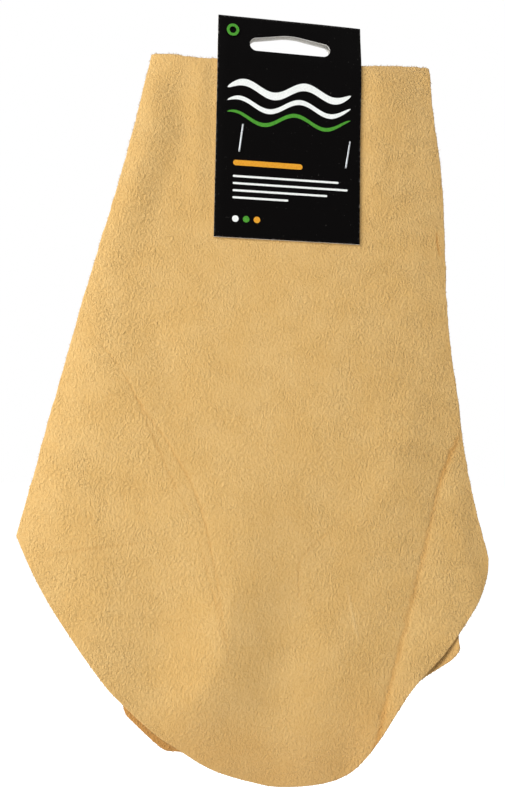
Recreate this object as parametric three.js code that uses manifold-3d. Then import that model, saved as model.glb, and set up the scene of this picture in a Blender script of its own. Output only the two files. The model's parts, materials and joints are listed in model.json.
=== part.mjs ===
// Chamois leather, folded once and stapled into a folded black header card with a hang slot.
// Millimetres. X runs right, Y away from the viewer and Z up.
// The origin is the peak of the hang slot, halfway between the card's panels, where a peg bears.

import * as THREE from 'three';
import { mergeVertices } from 'three/addons/utils/BufferGeometryUtils.js';
import Module from 'manifold-3d';

const wasm = await Module();
wasm.setup();

// Header card: one strip of coated board, folded over the top of the leather.
const cardWidth = 63.2;
const cardHeight = 98.3;
const cardThickness = 0.5;
const cardAboveSlot = 7.1;

// Hang slot through both panels: round ends, a straight lower edge and a low peak.
const slotWidth = 35.4;
const slotEndHeight = 6.1;
const slotPeakRise = 2.1;
const slotPeakWidth = 4.8;

// Staples: flat wire, crown in front, legs through all layers and bent inwards behind.
// Each stands at an inset from the card's side edge, and leans a little.
const stapleCrown = 12.7;
const stapleClinch = 4.6;
const wireWidth = 0.7;
const wireDepth = 0.5;
const wireBend = 0.9;
const legClearance = 0.3;
const leftStapleInset = 10.8;
const rightStapleInset = 5.6;
const leftStaple = { across: leftStapleInset - cardWidth / 2, height: -47.6, leanDegrees: 6.7 };
const rightStaple = { across: cardWidth / 2 - rightStapleInset, height: -51.6, leanDegrees: 8.5 };

// Leather: one skin, folded along a line that rises a little to the right. Points are [across, height].
const leatherThickness = 1.0;
const reachLeft = 107.2;
const reachRight = 89;
const tipDrop = 314;
const foldLeft = [-60.2, -12.2];
const foldRight = [63.8, -7.3];
const leftCorner = [-reachLeft, -216];
const rightBulge = [reachRight, -225];
const tip = [2, -tipDrop];

// Free space between pieces that lie on each other, and between the stapled top and a swinging leaf.
const seatGap = 0.3;
const hingeGap = 0.6;
const hingeBelowCard = 3;

// Side edges of the folded skin, from the fold down, joined by smooth curves.
const leftEdgePoints = [foldLeft, [-69.2, -58.7], [-88.4, -135], leftCorner];
const rightEdgePoints = [
  foldRight, [65.8, -28], [70.8, -82], [72.1, -122], [76.6, -160], [78.4, -176], rightBulge,
];

// Lower edge of the front leaf, from the left corner round the tip to the right bulge.
const frontLowerEdge = [
  leftCorner, [-88.4, -247.7], [-71.5, -270.5], [-50.8, -291.2], [-28, -305.5], tip,
  [24, -310.9], [35.6, -302.7], [52.9, -280.3], [67.6, -263.4], [82.3, -245.3], [88.3, -233], rightBulge,
];

// Lower edge of the back leaf, which shows past the front one at the lower left and the lower right.
const backLowerEdge = [
  [-102, -213.5], [-86, -247], [-66.4, -282], [-56, -295.2], [-45.6, -303.6], [-20, -309], [10, -311],
  [35, -301], [62, -277.5], [74, -269.4], [77.8, -264.6], [78, -258], [80, -245], [82, -228],
];

// Relief of the hanging leaves: a slight lean apart, and soft upright waves in the lower part.
const frontLean = 0.024;
const backLean = 0.03;
const waveHeight = 0.9;
const waveLength = 50;
const waveValley = 1;
const waveFromDrop = 105;
const waveFullDrop = 170;

// Side rims of the front leaf, which roll back towards the back leaf.
const leftRimFall = 3.5;
const rightRimFall = 1.8;
const rimWidth = 24;
const rimFullDrop = 110;

// Diagonal pleat on the front leaf, which fades in along its run from the top, and the flap on its right.
const pleatTop = [70.5, -175];
const pleatFoot = [40, -296];
const pleatFadeFrom = -25;
const pleatFadeTo = 44;
const pleatDepth = 0.75;
const pleatHalfWidth = 7;
const flapRise = 1;
const flapWidth = 27;

// Fineness of the leather grids, across and down, and of the round bends.
const leafAcrossSteps = 33;
const leafSteps = 17;
const topAcrossSteps = 16;
const topSteps = 6;
const foldSteps = 6;
const bendSegments = 10;

// Depths of the layers, counted from the middle of the fold, and the heights that follow from the card.
const layerMiddle = (seatGap + leatherThickness) / 2;
const leatherFace = seatGap / 2 + leatherThickness;
const panelInner = leatherFace + seatGap;
const panelOuter = panelInner + cardThickness;
const cardBottom = cardAboveSlot - cardHeight;
const hingeHeight = cardBottom - hingeBelowCard;
const topLowerEdge = hingeHeight + hingeGap / 2;
const leafUpperEdge = hingeHeight - hingeGap / 2;

const xAxis = new THREE.Vector3(1, 0, 0);
const yAxis = new THREE.Vector3(0, 1, 0);
const zAxis = new THREE.Vector3(0, 0, 1);

const leatherColour = new THREE.MeshStandardMaterial({ color: '#d9b272', roughness: 0.95, metalness: 0 });
const boardColour = new THREE.MeshStandardMaterial({ color: '#100e0f', roughness: 0.35, metalness: 0 });
const wireColour = new THREE.MeshStandardMaterial({ color: '#b4b7ba', roughness: 0.3, metalness: 1 });

// A closed geometry as a solid that can be cut.
function toSolid(geometry) {
  const bare = geometry.clone();
  bare.deleteAttribute('normal');
  bare.deleteAttribute('uv');
  const merged = mergeVertices(bare, 1e-4);
  return new wasm.Manifold(new wasm.Mesh({
    numProp: 3,
    vertProperties: Float32Array.from(merged.attributes.position.array),
    triVerts: Uint32Array.from(merged.index.array),
  }));
}

function toGeometry(solid) {
  const mesh = solid.getMesh();
  const geometry = new THREE.BufferGeometry();
  geometry.setAttribute('position', new THREE.Float32BufferAttribute(mesh.vertProperties, mesh.numProp));
  geometry.setIndex(Array.from(mesh.triVerts));
  geometry.computeVertexNormals();
  return geometry;
}

function cut(geometry, tools) {
  return toGeometry(tools.reduce((solid, tool) => solid.subtract(toSolid(tool)), toSolid(geometry)));
}

// A smooth edge through points that run downwards, as a function that gives the place across at a height.
function edgeThrough(points) {
  const slope = (i) => {
    const before = points[Math.max(i - 1, 0)];
    const after = points[Math.min(i + 1, points.length - 1)];
    return (after[0] - before[0]) / (after[1] - before[1]);
  };
  return (height) => {
    let i = 0;
    while (i < points.length - 2 && height < points[i + 1][1]) i += 1;
    const fall = points[i + 1][1] - points[i][1];
    const shift = points[i + 1][0] - points[i][0];
    const t = (height - points[i][1]) / fall;
    const bendIn = slope(i) * fall - shift;
    const bendOut = shift - slope(i + 1) * fall;
    return points[i][0] + t * shift + t * (1 - t) * ((1 - t) * bendIn + t * bendOut);
  };
}

const leftEdge = edgeThrough(leftEdgePoints);
const rightEdge = edgeThrough(rightEdgePoints);

// A sheet of even thickness round a middle surface, which gives a point for each u and v from 0 to 1.
function sheetGeometry(middle, uSteps, vSteps, thickness) {
  const step = 1e-3;
  const farSide = [];
  const nearSide = [];
  for (let j = 0; j <= vSteps; j += 1) {
    for (let i = 0; i <= uSteps; i += 1) {
      const u = i / uSteps;
      const v = j / vSteps;
      const along = middle(Math.min(u + step, 1), v).sub(middle(Math.max(u - step, 0), v));
      const down = middle(u, Math.min(v + step, 1)).sub(middle(u, Math.max(v - step, 0)));
      const normal = along.cross(down).setLength(thickness / 2);
      const point = middle(u, v);
      farSide.push(...point.clone().add(normal).toArray());
      nearSide.push(...point.clone().sub(normal).toArray());
    }
  }
  const row = uSteps + 1;
  const nearStart = row * (vSteps + 1);
  const index = [];
  const quad = (a, b, c, d) => index.push(a, b, d, b, c, d);
  for (let j = 0; j < vSteps; j += 1) {
    for (let i = 0; i < uSteps; i += 1) {
      const a = j * row + i;
      quad(a, a + 1, a + row + 1, a + row);
      quad(nearStart + a, nearStart + a + row, nearStart + a + row + 1, nearStart + a + 1);
    }
  }
  const rim = (a, b) => quad(a, nearStart + a, nearStart + b, b);
  for (let i = 0; i < uSteps; i += 1) {
    rim(i, i + 1);
    rim(vSteps * row + i + 1, vSteps * row + i);
  }
  for (let j = 0; j < vSteps; j += 1) {
    rim((j + 1) * row, j * row);
    rim(j * row + uSteps, (j + 1) * row + uSteps);
  }
  const geometry = new THREE.BufferGeometry();
  geometry.setAttribute('position', new THREE.Float32BufferAttribute([...farSide, ...nearSide], 3));
  geometry.setIndex(index);
  geometry.computeVertexNormals();
  return geometry;
}

// Outline from corners { at: [a, b], round }, where round is the corner's reach along both sides.
function roundedOutline(corners) {
  const outline = new THREE.Shape();
  corners.forEach(({ at, round = 0 }, i) => {
    const corner = new THREE.Vector2(...at);
    const before = new THREE.Vector2(...corners.at(i - 1).at);
    const after = new THREE.Vector2(...corners[(i + 1) % corners.length].at);
    const enter = before.sub(corner).setLength(round).add(corner);
    const leave = after.sub(corner).setLength(round).add(corner);
    if (i === 0) outline.moveTo(enter.x, enter.y);
    else outline.lineTo(enter.x, enter.y);
    if (round > 0) outline.quadraticCurveTo(corner.x, corner.y, leave.x, leave.y);
  });
  outline.closePath();
  return outline;
}

// Prism of an outline, with its length centred on the outline's plane.
function prism(outline, length, curveSegments) {
  const geometry = new THREE.ExtrudeGeometry(outline, { depth: length, bevelEnabled: false, curveSegments });
  return geometry.translate(0, 0, -length / 2);
}

// Slot tool: runs past both panels.
function slotTool() {
  const endRadius = slotEndHeight / 2;
  const endAcross = slotWidth / 2 - endRadius;
  const endHeight = -slotPeakRise - endRadius;
  const outline = new THREE.Shape();
  outline.moveTo(-endAcross, endHeight - endRadius);
  outline.lineTo(endAcross, endHeight - endRadius);
  outline.absarc(endAcross, endHeight, endRadius, -Math.PI / 2, Math.PI / 2, false);
  outline.lineTo(slotPeakWidth / 2, 0);
  outline.lineTo(-slotPeakWidth / 2, 0);
  outline.absarc(-endAcross, endHeight, endRadius, Math.PI / 2, Math.PI * 1.5, false);
  const tool = prism(outline, 4 * panelOuter, bendSegments);
  return tool.applyMatrix4(new THREE.Matrix4().makeBasis(xAxis, zAxis, yAxis.clone().negate()));
}

// Tools for the holes that a staple's two legs pass through.
function legTools({ across, height, leanDegrees }) {
  const legOffset = (stapleCrown - wireDepth) / 2;
  return [legOffset, -legOffset].map((offset) => {
    const [holeWidth, holeDepth] = [wireWidth, wireDepth].map((wire) => wire + 2 * legClearance);
    const hole = new THREE.BoxGeometry(holeWidth, 4 * panelOuter, holeDepth);
    hole.translate(0, 0, offset);
    hole.rotateY(THREE.MathUtils.degToRad(leanDegrees));
    return hole.translate(across, 0, height);
  });
}

const staplePlaces = [leftStaple, rightStaple];
const legHoles = staplePlaces.flatMap(legTools);

function headerCard() {
  const bendHeight = cardAboveSlot - panelOuter;
  const section = new THREE.Shape();
  section.moveTo(-panelOuter, cardBottom);
  section.lineTo(-panelInner, cardBottom);
  section.lineTo(-panelInner, bendHeight);
  section.absarc(0, bendHeight, panelInner, Math.PI, 0, true);
  section.lineTo(panelInner, cardBottom);
  section.lineTo(panelOuter, cardBottom);
  section.lineTo(panelOuter, bendHeight);
  section.absarc(0, bendHeight, panelOuter, 0, Math.PI, false);
  const strip = prism(section, cardWidth, bendSegments);
  strip.applyMatrix4(new THREE.Matrix4().makeBasis(yAxis, zAxis, xAxis));
  const card = new THREE.Mesh(cut(strip, [slotTool(), ...legHoles]), boardColour);
  card.name = 'header_card';
  return card;
}

function staple(name, { across, height, leanDegrees }) {
  const half = stapleCrown / 2;
  const reach = panelOuter + seatGap;
  const outside = reach + wireDepth;
  const bendInside = wireBend - wireDepth;
  const outline = roundedOutline([
    { at: [-half, -outside], round: wireBend },
    { at: [half, -outside], round: wireBend },
    { at: [half, outside], round: wireBend },
    { at: [half - stapleClinch, outside] },
    { at: [half - stapleClinch, reach] },
    { at: [half - wireDepth, reach], round: bendInside },
    { at: [half - wireDepth, -reach], round: bendInside },
    { at: [-half + wireDepth, -reach], round: bendInside },
    { at: [-half + wireDepth, reach], round: bendInside },
    { at: [-half + stapleClinch, reach] },
    { at: [-half + stapleClinch, outside] },
    { at: [-half, outside], round: wireBend },
  ]);
  const wire = prism(outline, wireWidth, bendSegments);
  wire.applyMatrix4(new THREE.Matrix4().makeBasis(zAxis, yAxis, xAxis.clone().negate()));
  const mesh = new THREE.Mesh(wire, wireColour);
  mesh.name = name;
  mesh.position.set(across, 0, height);
  mesh.rotation.y = THREE.MathUtils.degToRad(leanDegrees);
  return mesh;
}

// Stapled top of the skin: up in front of the fold, round it, and down behind it to the same height.
function leatherTop() {
  const vSteps = 2 * topSteps + foldSteps;
  const middle = (u, v) => {
    const station = v * vSteps;
    const bendHeight = THREE.MathUtils.lerp(foldRight[1], foldLeft[1], u) - leatherFace;
    const place = (depth, height, rise) => {
      const across = THREE.MathUtils.lerp(rightEdge(height), leftEdge(height), u);
      return new THREE.Vector3(across, depth, height + rise);
    };
    if (station < topSteps) {
      return place(-layerMiddle, THREE.MathUtils.lerp(topLowerEdge, bendHeight, station / topSteps), 0);
    }
    if (station > topSteps + foldSteps) {
      const descent = (station - topSteps - foldSteps) / topSteps;
      return place(layerMiddle, THREE.MathUtils.lerp(bendHeight, topLowerEdge, descent), 0);
    }
    const turn = Math.PI * (station - topSteps) / foldSteps;
    return place(-layerMiddle * Math.cos(turn), bendHeight, layerMiddle * Math.sin(turn));
  };
  const sheet = sheetGeometry(middle, topAcrossSteps, vSteps, leatherThickness);
  const mesh = new THREE.Mesh(cut(sheet, legHoles), leatherColour);
  mesh.name = 'leather_top';
  return mesh;
}

// Diagonal pleat: a valley, with the flap on its right standing proud and falling back to the rim.
function pleatRelief(place) {
  const top = new THREE.Vector2(...pleatTop);
  const run = new THREE.Vector2(...pleatFoot).sub(top);
  const offset = place.clone().sub(top);
  run.normalize();
  const along = run.dot(offset);
  const side = run.cross(offset);
  const fade = THREE.MathUtils.smoothstep(along, pleatFadeFrom, pleatFadeTo);
  const valley = -pleatDepth * Math.exp(-((side / pleatHalfWidth) ** 2));
  const flap = flapRise * Math.sin(Math.PI * THREE.MathUtils.clamp(side / flapWidth, 0, 1));
  return fade * (valley + flap);
}

// How far a side rim falls back at a distance from its edge.
function rimRoll(distance, fall) {
  return fall * THREE.MathUtils.clamp(1 - distance / rimWidth, 0, 1) ** 2;
}

// How far the front leaf stands proud at a place, also by its distances from the side edges and the hinge.
function frontRelief(place, fromLeft, fromRight, drop) {
  const roll = rimRoll(fromLeft, leftRimFall) + rimRoll(fromRight, rightRimFall);
  return pleatRelief(place) - roll * THREE.MathUtils.smoothstep(drop, 0, rimFullDrop);
}

// A leaf below the card, spread between its side edges and its lower edge. facing is -1 in front, 1 behind.
function leaf(name, lowerEdgePoints, facing, lean, relief) {
  const lowerEdge = new THREE.SplineCurve(lowerEdgePoints.map((point) => new THREE.Vector2(...point)));
  const [leftEnd, rightEnd] = [lowerEdge.getPoint(0), lowerEdge.getPoint(1)];
  const side = (edge, end) => (v) => {
    const height = THREE.MathUtils.lerp(leafUpperEdge, end.y, v);
    return new THREE.Vector2(edge(height) + v * (end.x - edge(end.y)), height);
  };
  const [left, right] = [side(leftEdge, leftEnd), side(rightEdge, rightEnd)];
  const middle = (u, v) => {
    const upper = left(0).lerp(right(0), u);
    const lower = lowerEdge.getPointAt(u);
    const flat = upper.clone().lerp(lower, v);
    flat.add(left(v).lerp(right(v), u));
    flat.sub(upper.lerp(leftEnd.clone().lerp(rightEnd, u), v));
    const drop = leafUpperEdge - flat.y;
    const wave = -waveHeight * Math.cos(2 * Math.PI * (flat.x - waveValley) / waveLength);
    const stand = wave * THREE.MathUtils.smoothstep(drop, waveFromDrop, waveFullDrop)
      + relief(flat, flat.x - left(v).x, right(v).x - flat.x, drop);
    return new THREE.Vector3(flat.x, facing * (layerMiddle + lean * drop + stand), flat.y);
  };
  const sheet = sheetGeometry(middle, leafAcrossSteps, leafSteps, leatherThickness);
  const mesh = new THREE.Mesh(sheet, leatherColour);
  mesh.name = name;
  return mesh;
}

const chamois = new THREE.Group();
chamois.add(headerCard());
chamois.add(staple('left_staple', leftStaple));
chamois.add(staple('right_staple', rightStaple));
chamois.add(leatherTop());
chamois.add(leaf('front_leaf', frontLowerEdge, -1, frontLean, frontRelief));
chamois.add(leaf('back_leaf', backLowerEdge, 1, backLean, () => 0));

export default chamois;
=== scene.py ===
import contextlib
import json
import math

import bpy
import numpy as np
from mathutils import Matrix, Vector, noise


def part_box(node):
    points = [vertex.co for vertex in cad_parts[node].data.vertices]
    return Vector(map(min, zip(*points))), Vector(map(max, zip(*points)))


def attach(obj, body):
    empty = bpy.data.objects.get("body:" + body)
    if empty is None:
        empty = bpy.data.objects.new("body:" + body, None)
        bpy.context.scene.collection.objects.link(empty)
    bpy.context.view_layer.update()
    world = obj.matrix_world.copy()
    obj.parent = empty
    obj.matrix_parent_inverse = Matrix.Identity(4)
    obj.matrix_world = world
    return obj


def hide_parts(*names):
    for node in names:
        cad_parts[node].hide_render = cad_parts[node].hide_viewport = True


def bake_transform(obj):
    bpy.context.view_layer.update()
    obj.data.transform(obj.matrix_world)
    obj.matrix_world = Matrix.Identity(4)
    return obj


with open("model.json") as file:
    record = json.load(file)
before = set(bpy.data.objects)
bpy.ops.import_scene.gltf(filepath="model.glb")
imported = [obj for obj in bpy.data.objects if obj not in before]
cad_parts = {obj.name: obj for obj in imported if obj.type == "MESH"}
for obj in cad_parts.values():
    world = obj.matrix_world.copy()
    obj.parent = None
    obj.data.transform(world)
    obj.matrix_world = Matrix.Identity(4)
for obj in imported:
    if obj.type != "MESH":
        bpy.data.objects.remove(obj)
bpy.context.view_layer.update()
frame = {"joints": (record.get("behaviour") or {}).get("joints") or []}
mm = 0.001

# Chamois skin
# One oil-tanned skin of about a square foot, split, buffed on both sides to a soft nap and cut to its
# natural outline. It is folded once, so a front and a back leaf hang from a round fold that the card
# pinches. Each leaf is made as a sheet of its own, and the two meet along the crest of the fold.
skin_thickness = 1.0 * mm
layer_middle = 0.65 * mm
crest_line = np.array([
    [-59.8, -12.4], [-58.2, -11.9], [-54, -12.1], [-49.5, -12.05], [-46, -12.6], [-41, -12.75],
    [-34.5, -12.65], [-32.5, -12.3], [34, -10.4], [40, -9.6], [48, -8.66], [57, -7.85], [60, -7.8],
    [62.4, -7.5], [63.8, -7.8],
]) * mm
fold_left, fold_right = crest_line[0], crest_line[-1]
left_corner = np.array([-107, -216]) * mm
right_bulge = np.array([88.8, -225]) * mm
left_edge = np.array([[-68.8, -58.7], [-88.4, -135]]) * mm
right_edge = np.array([
    [65.3, -28], [69.3, -55], [70.8, -82], [72.1, -122], [76.6, -160], [78.4, -176], [82.6, -200],
]) * mm
front_lower_edge = np.array([
    [-98.2, -232.7], [-88.5, -247.8], [-71.5, -270.5], [-62.4, -280.5], [-50.8, -291.6], [-42.9, -297.4],
    [-28.5, -307.3], [-13.2, -313.9], [2, -317.5], [24.8, -314.9], [36.4, -303.9], [52.1, -279.7],
    [67.8, -263.6], [81.7, -244.9], [87.7, -232.9],
]) * mm
back_left_edge = np.array([[-69.4, -58.7], [-86.4, -135]]) * mm
back_right_edge = np.array([[65.2, -28], [70.2, -82], [70.8, -125], [74.2, -175]]) * mm
back_lower_edge = np.array([
    [-102, -213.5], [-86, -247], [-66, -277.5], [-63.8, -281.8], [-62.5, -286], [-60.2, -288.5],
    [-50.8, -297.6], [-46, -301.2], [-41.4, -302], [-20, -306.5], [10, -310], [35, -298], [50, -281.8],
    [59.9, -273.9], [65.1, -270.4], [70.6, -266.4], [74, -262], [74.2, -258.5], [75, -253], [77.3, -245],
    [81, -228],
]) * mm
card_low, card_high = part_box("header_card")
card_width = card_high.x - card_low.x
hinge = {joint["child"]: Vector(joint["pos_m"]) for joint in frame["joints"]}
across_steps = 192
down_steps = 197
fold_steps = 8


def smooth_line(points, steps, span_steps=40):
    """Even steps along a smooth line through points, as a flexible ruler lies through them."""
    p = np.array([points[0], *points, points[-1]])
    t = np.linspace(0, 1, span_steps, endpoint=False)[:, None]
    spans = [
        b + t / 2 * (c - a + t * (2 * a - 5 * b + 4 * c - d + t * (3 * (b - c) + d - a)))
        for a, b, c, d in zip(p, p[1:], p[2:], p[3:])
    ]
    dense = np.vstack([*spans, p[-1:]])
    run = np.concatenate([[0], np.cumsum(np.linalg.norm(np.diff(dense, axis=0), axis=1))])
    even = np.linspace(0, run[-1], steps + 1)
    return np.column_stack([np.interp(even, run, dense[:, k]) for k in (0, 1)])


def spread_between(upper, lower, left, right):
    """Rows of points that fill the space between four edges, from the upper one down."""
    u = np.linspace(0, 1, len(upper))[None, :, None]
    v = np.linspace(0, 1, len(left))[:, None, None]
    rows = (1 - v) * upper[None] + v * lower[None]
    columns = (1 - u) * left[:, None] + u * right[:, None]
    corners = (1 - v) * ((1 - u) * upper[0] + u * upper[-1]) + v * ((1 - u) * lower[0] + u * lower[-1])
    return rows + columns - corners


def ripple(points, length, seed):
    """Smooth random heights from about -1 to 1, with humps of a length."""
    flat = points.reshape(-1, 2) / length
    heights = [noise.noise(Vector((x, z, seed))) for x, z in flat]
    return np.array(heights).reshape(points.shape[:-1])


def rising(value, start, end):
    """0 before start, 1 after end, and a smooth rise between them."""
    t = np.clip((value - start) / (end - start), 0, 1)
    return t * t * (3 - 2 * t)


def falling(value, start, end):
    """1 before start, 0 after end, and a smooth fall between them."""
    return 1 - rising(value, start, end)


def hump(distance, width):
    """1 on a line, and a smooth fall to nearly 0 at twice a width from it."""
    return np.exp(-((distance / width) ** 2))


def rim_roll(gap, width, power):
    """1 at a rim, and a fall to 0 at a width from it, steeper at the rim with a higher power."""
    return np.clip(1 - gap / width, 0, 1) ** power


def from_line(points, line):
    """Distance of points from a line of straight runs, their nearness to its middle and their side of it.

    The nearness is 0 at the line's ends and 1 at its middle. The side is 1 on the left, -1 on the right.
    """
    distance = np.full(points.shape[:-1], np.inf)
    nearness = np.zeros(points.shape[:-1])
    side = np.zeros(points.shape[:-1])
    for k, (a, b) in enumerate(zip(line, line[1:])):
        run = b - a
        t = np.clip((points - a) @ run / (run @ run), 0, 1)
        here = np.linalg.norm(points - a - t[..., None] * run, axis=-1)
        along = (k + t) / (len(line) - 1)
        nearer = here < distance
        nearness = np.where(nearer, 4 * along * (1 - along), nearness)
        side = np.where(nearer, np.sign((points - a) @ np.array([-run[1], run[0]])), side)
        distance = np.minimum(distance, here)
    return distance, nearness, side


# Relief of the hanging leaves. A pair of lengths named onset or end is where a change begins and where it is
# complete: down from the slot's peak, or across, or away from what the comment names.
front_lean, back_lean = 0.024, 0.03
lean_start = 20 * mm

# Soft upright waves, counted from the hinge down. They drift left, and are weaker at the right and the foot.
wave_height, wave_length, wave_valley = 0.85 * mm, 50 * mm, 1 * mm
wave_onset = (105 * mm, 170 * mm)
wave_drift, wave_drift_onset = 7 * mm, (250 * mm, 312 * mm)
wave_right_loss, wave_right_onset = 0.85, (-5 * mm, 30 * mm)
wave_foot_loss, wave_foot_onset = 0.5, (268 * mm, 300 * mm)

# Cockles of three sizes by height, length and seed, which the card presses flatter and the fold pulls out.
cockles = [(0.32 * mm, 42 * mm, 0), (0.1 * mm, 13 * mm, 2), (0.035 * mm, 4.5 * mm, 3)]
cockle_at_card, cockle_full, cockle_rows = 0.25, 60 * mm, 12

# Rims of the front leaf that roll back, below the hinge, and the wings of both leaves beside the card.
rim_width, rim_full = 24 * mm, 75 * mm
left_rim_fall, right_rim_fall, right_rim_end = 4 * mm, 1.1 * mm, (225 * mm, 250 * mm)
lower_rim_fall, lower_rim_from, lower_rim_width = 3.8 * mm, 270 * mm, 34 * mm
lower_rim_end = (26 * mm, 46 * mm)
left_wing_fall, right_wing_fall = 1.8 * mm, 0.8 * mm
wing_width, wing_end = 17 * mm, 80 * mm

# The belly in the left half, with a ridge along its right, steep on the right of its line.
ridge_line = np.array([
    [-21, -205], [-17, -232], [-21, -240.4], [-22.5, -251], [-23.5, -260], [-30.5, -275], [-36, -280.3],
    [-46, -288], [-60, -298], [-75, -314],
]) * mm
ridge_rise, ridge_left, ridge_right = 0.8 * mm, 9.5 * mm, 6.5 * mm
ridge_onset, ridge_end = (226 * mm, 246 * mm), (265 * mm, 292 * mm)
belly_rise, belly_left, belly_right = 2.3 * mm, 46 * mm, 24 * mm
belly_onset, belly_end, belly_loss = (165 * mm, 215 * mm), (272 * mm, 303 * mm), 0.75

# Swellings beside the card, away from its sides and down from the fold, and the shoulder on the left.
left_puff, left_puff_end = 0.7 * mm, (2 * mm, 15 * mm)
right_puff, right_puff_width = 0.7 * mm, 26 * mm
right_flare, flare_full, flare_end = 0.8 * mm, 22 * mm, (12 * mm, 40 * mm)
swell_onset, swell_end, swell_below_fold = (0.4 * mm, 9 * mm), (66 * mm, 89 * mm), (0, 3 * mm)
shoulder_line = np.array([[-56, -20], [-51, -47], [-60, -74], [-70, -105]]) * mm
shoulder_rise, shoulder_width = 2 * mm, 8 * mm
shoulder_end, shoulder_below_fold = (65 * mm, 130 * mm), (3 * mm, 16 * mm)

# The pleat runs down the right side, and the flap on its right stands a little proud.
pleat_line = smooth_line(np.array([
    [78.7, -168], [75, -175.2], [67.4, -192.4], [60.9, -217.3], [52.3, -249.2], [43.2, -281], [39.9, -296],
    [37.6, -306],
]) * mm, 40)
pleat_slope = 0.95
pleat_onset, pleat_rim_clear = (168 * mm, 190 * mm), 7 * mm
pleat_depth, pleat_left_reach, pleat_right_reach = 0.55 * mm, 9 * mm, 5 * mm
pleat_groove, pleat_groove_width = 0.12 * mm, 0.8 * mm
flap_rise, flap_width = 1 * mm, 60 * mm
flap_tilt, flap_tilt_width, flap_tilt_onset = 0.15, 14 * mm, (266 * mm, 288 * mm)

# Soft creases of the front leaf and curled corners of the back one, in millimetres: line, rise and width.
soft_creases = [
    ([[-75.4, -139.5], [-59.3, -163.6], [-36.3, -199.6], [-28, -228]], -0.2, 1.8),
    ([[-86, -222.6], [-70, -220.6], [-53.4, -218]], -0.15, 1.5),
    ([[-52.6, -290], [-41.4, -282.5]], -0.25, 1.6),
    ([[60, -156], [51, -168], [47.5, -185], [45, -198], [38, -214]], 1, 11),
    ([[-66, -118], [-56, -136], [-48, -152], [-42, -166]], -0.6, 9),
]
back_curls = [
    ([[65, -283.5], [75.5, -273.5], [81, -263]], -14.4, 15),
    ([[-72, -274], [-44, -305]], -4.6, 17),
]

# Fine creases by line, steps and depth, from 0 to 1, or below 0 where one stands up. The lines of a set lie
# well apart, so that each point of the leaf belongs to one of them.
crease_sets = {
    "long_creases": [
        ([
            [-81.7, -132.2], [-68.5, -148.2], [-59.3, -163.6], [-47.5, -179.6], [-36.3, -199.6],
            [-29.8, -222], [-25.3, -245.5], [-23.1, -259], [-21.8, -268],
        ], 40, 0.7),
        ([[27.2, -205.8], [13.3, -218], [6.3, -225.5], [6, -234], [7.3, -244.7]], 20, 0.5),
    ],
    "short_creases": [
        ([[-62, -158], [-56.4, -171.7], [-44.4, -196.9], [-39, -207]], 20, 0.65),
        ([[-35.9, -214.1], [-28.8, -237.7], [-23.8, -257.2]], 20, 0.5),
        ([[-99, -224], [-78.8, -220.3], [-52, -217.2]], 20, 0.45),
        ([[-67.4, -94.9], [-61, -104.7], [-53.3, -116.2]], 10, 0.3),
        ([[26.1, -234.5], [28, -243.7], [31.6, -259]], 10, -1),
    ],
}
fine_creases = {
    name: [(smooth_line(np.array(points) * mm, steps), depth) for points, steps, depth in creases]
    for name, creases in crease_sets.items()
}

# Bow of the handled card at its right side, forwards below and back again at its upper corner.
bow_start, bow_end = 8 * mm, (3 * mm, 24 * mm)
bow_forward, bow_forward_onset = 1.2 * mm, (-44 * mm, -20 * mm)
bow_back, bow_back_onset = 1.5 * mm, (-16 * mm, card_high.z)

# Raggedness of the cut edges and of the crest, by size and by the length of its humps.
cut_ragged, cut_hump, cut_ragged_full = 0.32 * mm, 3.8 * mm, 20 * mm
second_seed = 7
crest_ragged, crest_hump, crest_seed = 0.12 * mm, 1.8 * mm, 3.5
pinch_rows = 16


def pleat_side(points):
    """How far points lie to the right of the pleat, square to it."""
    line = pleat_line[::-1]
    return (points[..., 0] - np.interp(points[..., 1], line[:, 1], line[:, 0])) * pleat_slope


def pleat_relief(points, from_right):
    """Height of the valley, of the sharp line in it and of the flap beside it. It begins below the rim."""
    side, down = pleat_side(points), -points[..., 1]
    fade = rising(down, *pleat_onset) * rising(from_right, 0, pleat_rim_clear)
    reach = np.where(side < 0, pleat_left_reach, pleat_right_reach)
    valley = -pleat_depth * np.exp(-np.abs(side) / reach)
    groove = -pleat_groove * hump(side, pleat_groove_width)
    flap = flap_rise * np.sin(np.pi * np.clip(side / flap_width, 0, 1))
    flap = flap + flap_tilt * np.clip(side, 0, flap_tilt_width) * rising(down, *flap_tilt_onset)
    return fade * (valley + groove + flap)


def beside_card_relief(points, gaps):
    """The skin swells beside the stapled card, flares at its right, and its left shoulder stands proud."""
    across, down = points[..., 0], -points[..., 1]
    beside = np.abs(across) - card_width / 2
    left_swell = left_puff * falling(beside, *left_puff_end)
    right_swell = right_puff * (1 - np.clip(beside / right_puff_width, 0, 1) ** 2)
    flare = rising(beside, 0, flare_full) * falling(gaps["upper"], *flare_end)
    right_swell = right_swell + right_flare * flare
    swell = np.where(across < 0, left_swell, right_swell) * rising(beside, *swell_onset)
    swell = swell * falling(down, *swell_end)
    off_shoulder = across - np.interp(down, -shoulder_line[:, 1], shoulder_line[:, 0])
    shoulder = shoulder_rise * falling(off_shoulder, -shoulder_width, shoulder_width)
    shoulder = shoulder * falling(down, *shoulder_end)
    below_fold = rising(gaps["upper"], *swell_below_fold)
    return swell * below_fold + shoulder * rising(gaps["upper"], *shoulder_below_fold)


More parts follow.
